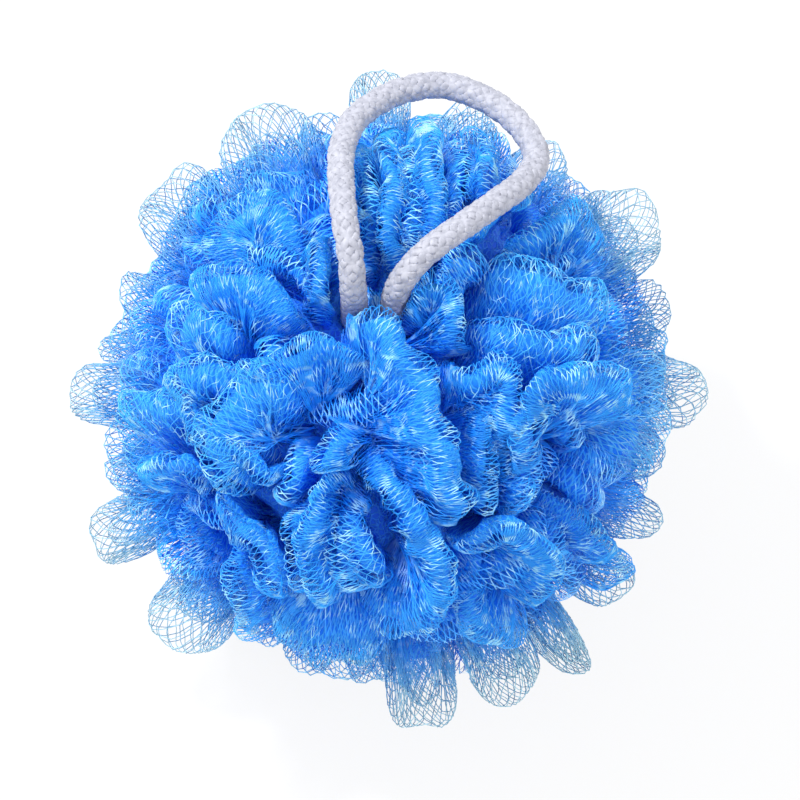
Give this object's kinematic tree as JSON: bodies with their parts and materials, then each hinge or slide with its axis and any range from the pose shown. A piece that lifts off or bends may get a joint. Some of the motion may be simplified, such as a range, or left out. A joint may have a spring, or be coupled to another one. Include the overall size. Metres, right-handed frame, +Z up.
{
  "type": "mesh bath pouf",
  "caption": "Ruffled ball of soft diamond net on a braided hanging cord loop, for lathering soap in the bath or shower.",
  "frame": {"origin": "middle of the underside of the ruffled ball, on the surface that it rests on", "axes": "+Z up, out of the dip that the cord leaves; +Y towards the side that the loop lies on, so -Y is the front; +X to the right seen from the front"},
  "size_m": [0.1192, 0.1187, 0.1174],
  "materials": {
    "blue_net": "soft extruded polyethylene net, slight shine",
    "white_cord": "braided polypropylene",
    "white_knot": "braided polypropylene"
  },
  "bodies": {
    "root": {"net_ruffle": "blue_net", "hanging_cord": "white_cord", "cord_knot": "white_knot"}
  },
  "joints": []
}
